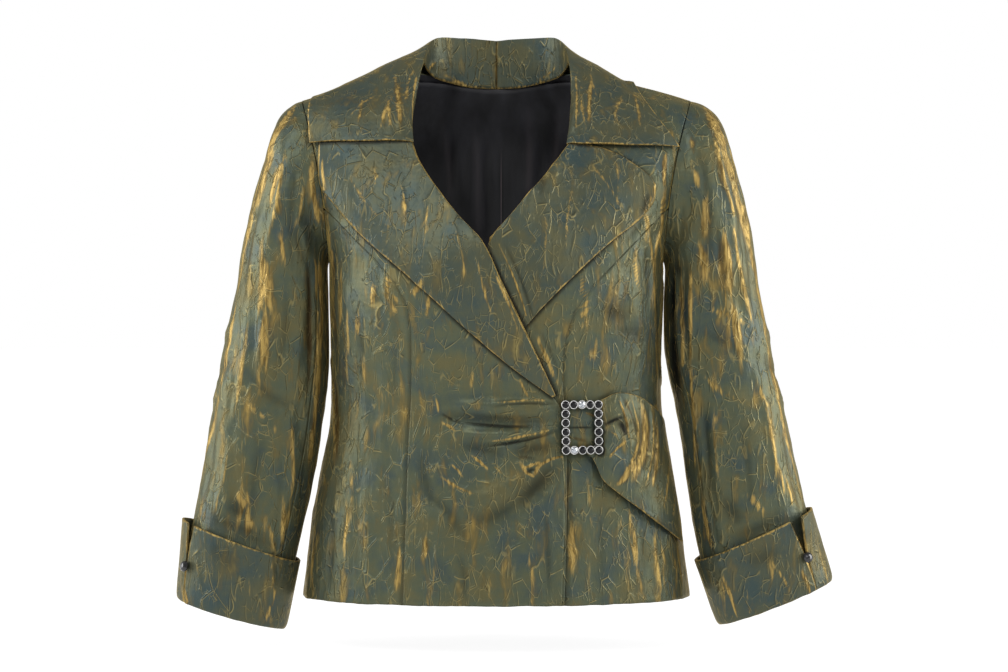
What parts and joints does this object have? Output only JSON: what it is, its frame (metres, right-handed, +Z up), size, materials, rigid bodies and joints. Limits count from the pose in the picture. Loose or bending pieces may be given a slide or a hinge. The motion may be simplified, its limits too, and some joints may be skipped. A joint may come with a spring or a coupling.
{
  "type": "blazer",
  "caption": "Women's fitted wrap blazer in shot crinkled taffeta, with notched collar, turned-back cuffs and a jewelled buckle at one side of the waist.",
  "frame": {"origin": "middle of the neck opening, at the height of the back neck seam, where the wearer's neck and shoulders hold the garment", "axes": "+Z up, +X towards the wearer's left sleeve, -Y out of the front"},
  "size_m": [0.6725, 0.2461, 0.6113],
  "materials": {
    "taffeta": "shot taffeta, crinkled, green with gold",
    "lining": "satin lining, black",
    "buckle_metal": "polished, silver colour",
    "black_stone": "faceted, black",
    "clear_stone": "faceted, clear with foil",
    "button": "glossy black"
  },
  "bodies": {
    "root": {"back_right": "taffeta", "front_right": "taffeta", "side_front_right": "taffeta", "collar_right": "taffeta", "sleeve_upper_right": "taffeta", "sleeve_under_right": "taffeta", "cuff_right": "taffeta", "back_left": "taffeta", "front_left": "taffeta", "side_front_left": "taffeta", "collar_left": "taffeta", "sleeve_upper_left": "taffeta", "sleeve_under_left": "taffeta", "cuff_left": "taffeta", "lapel_right": "taffeta", "lapel_left": "taffeta", "sash": "taffeta", "lining_back": "lining", "buckle": "buckle_metal", "button_right": "button", "button_left": "button", "stone_01": "black_stone", "stone_02": "black_stone", "stone_03": "clear_stone", "stone_04": "black_stone", "stone_05": "black_stone", "stone_06": "black_stone", "stone_07": "black_stone", "stone_08": "black_stone", "stone_09": "black_stone", "stone_10": "black_stone", "stone_11": "black_stone", "stone_12": "black_stone", "stone_13": "black_stone", "stone_14": "black_stone", "stone_15": "clear_stone", "stone_16": "black_stone", "stone_17": "black_stone", "stone_18": "black_stone"}
  },
  "joints": []
}
